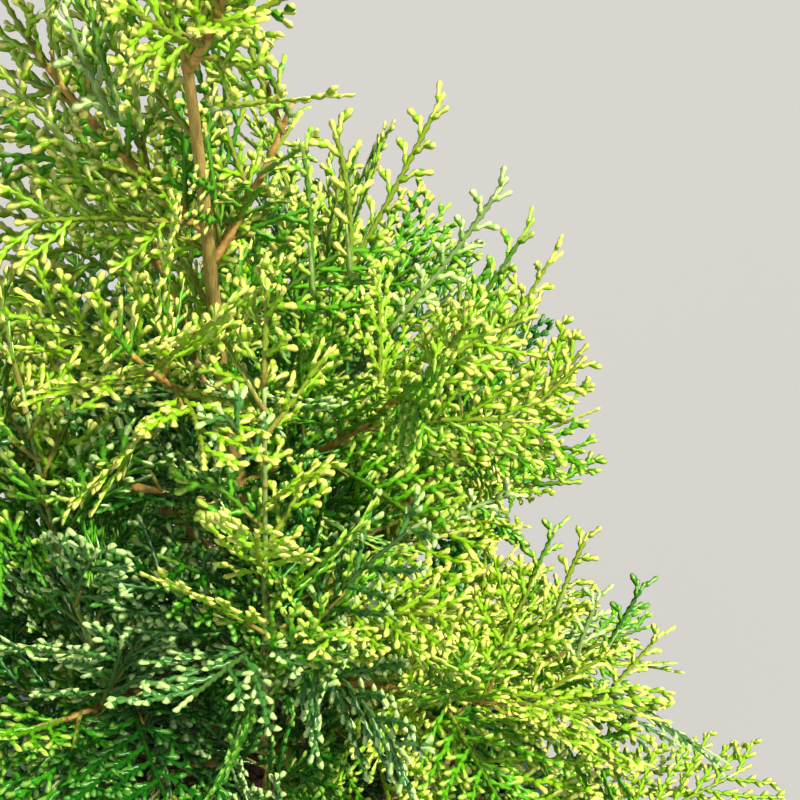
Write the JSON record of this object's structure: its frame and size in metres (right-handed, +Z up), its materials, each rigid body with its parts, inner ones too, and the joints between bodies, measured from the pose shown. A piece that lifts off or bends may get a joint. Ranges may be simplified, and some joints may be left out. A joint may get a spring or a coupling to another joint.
{
  "type": "potted thuja",
  "caption": "Young conical thuja with flat green sprays on ascending boughs, standing in a blue plastic nursery pot filled with potting mix.",
  "frame": {"origin": "centre of the pot's flat underside", "axes": "+Z up along the leader stem, +Y away from the picture's camera, +X to the right in the picture"},
  "size_m": [0.4068, 0.3811, 0.7117],
  "materials": {
    "pot": "deep blue moulded plastic, satin, with a few scuffs and dried splashes",
    "mix": "dark bark-based potting mix",
    "bark": "warm brown young bark, shallow lengthwise furrows",
    "foliage": "small overlapping scale leaves, bright green with yellow-green tips"
  },
  "bodies": {
    "root": {"pot": "pot", "potting_mix": "mix", "trunk": "bark", "bough_01": "bark", "bough_02": "bark", "bough_03": "bark", "bough_04": "bark", "bough_05": "bark", "bough_06": "bark", "bough_07": "bark", "bough_08": "bark", "bough_09": "bark", "bough_10": "bark", "bough_11": "bark", "bough_12": "bark", "bough_13": "bark", "bough_14": "bark", "bough_15": "bark", "bough_16": "bark", "bough_17": "bark", "bough_18": "bark", "bough_19": "bark", "bough_20": "bark", "bough_21": "bark", "mass_01": "foliage", "mass_02": "foliage", "mass_03": "foliage", "mass_04": "foliage", "mass_05": "foliage", "mass_06": "foliage", "mass_07": "foliage", "mass_08": "foliage", "mass_09": "foliage", "mass_10": "foliage", "mass_11": "foliage", "mass_12": "foliage", "mass_13": "foliage", "mass_14": "foliage", "mass_15": "foliage", "mass_16": "foliage", "mass_17": "foliage", "mass_18": "foliage", "mass_19": "foliage", "mass_20": "foliage", "mass_21": "foliage", "mass_22": "foliage", "mass_23": "foliage", "mass_24": "foliage", "mass_25": "foliage", "mass_26": "foliage", "mass_27": "foliage", "mass_28": "foliage"}
  },
  "joints": []
}
